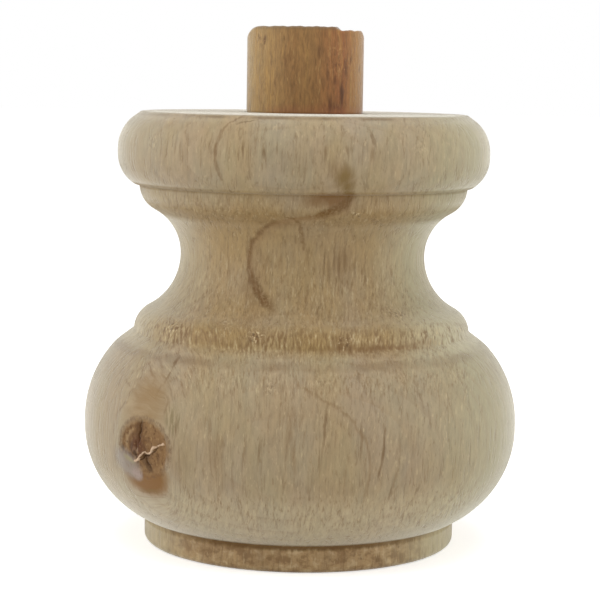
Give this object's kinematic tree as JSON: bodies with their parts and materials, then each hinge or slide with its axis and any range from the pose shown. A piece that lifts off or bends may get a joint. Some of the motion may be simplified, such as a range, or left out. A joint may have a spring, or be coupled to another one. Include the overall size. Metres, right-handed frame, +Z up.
{
  "type": "turned wooden furniture foot",
  "caption": "Squat turned bun foot in wood, with a plinth, a hollow neck, a rounded top bead and a plain round peg that glues into a hole in the furniture.",
  "frame": {"origin": "centre of the base, on the floor", "axes": "+Z up the lathe axis, through the peg; -Y is the side that the picture shows, with the knot to its left"},
  "size_m": [0.1124, 0.1124, 0.1335],
  "materials": {
    "pale_wood": "bare, turned and sanded, matt",
    "brown_wood": "bare dowel rod, matt"
  },
  "bodies": {
    "root": {"turned_foot": "pale_wood", "top_peg": "brown_wood"}
  },
  "joints": []
}
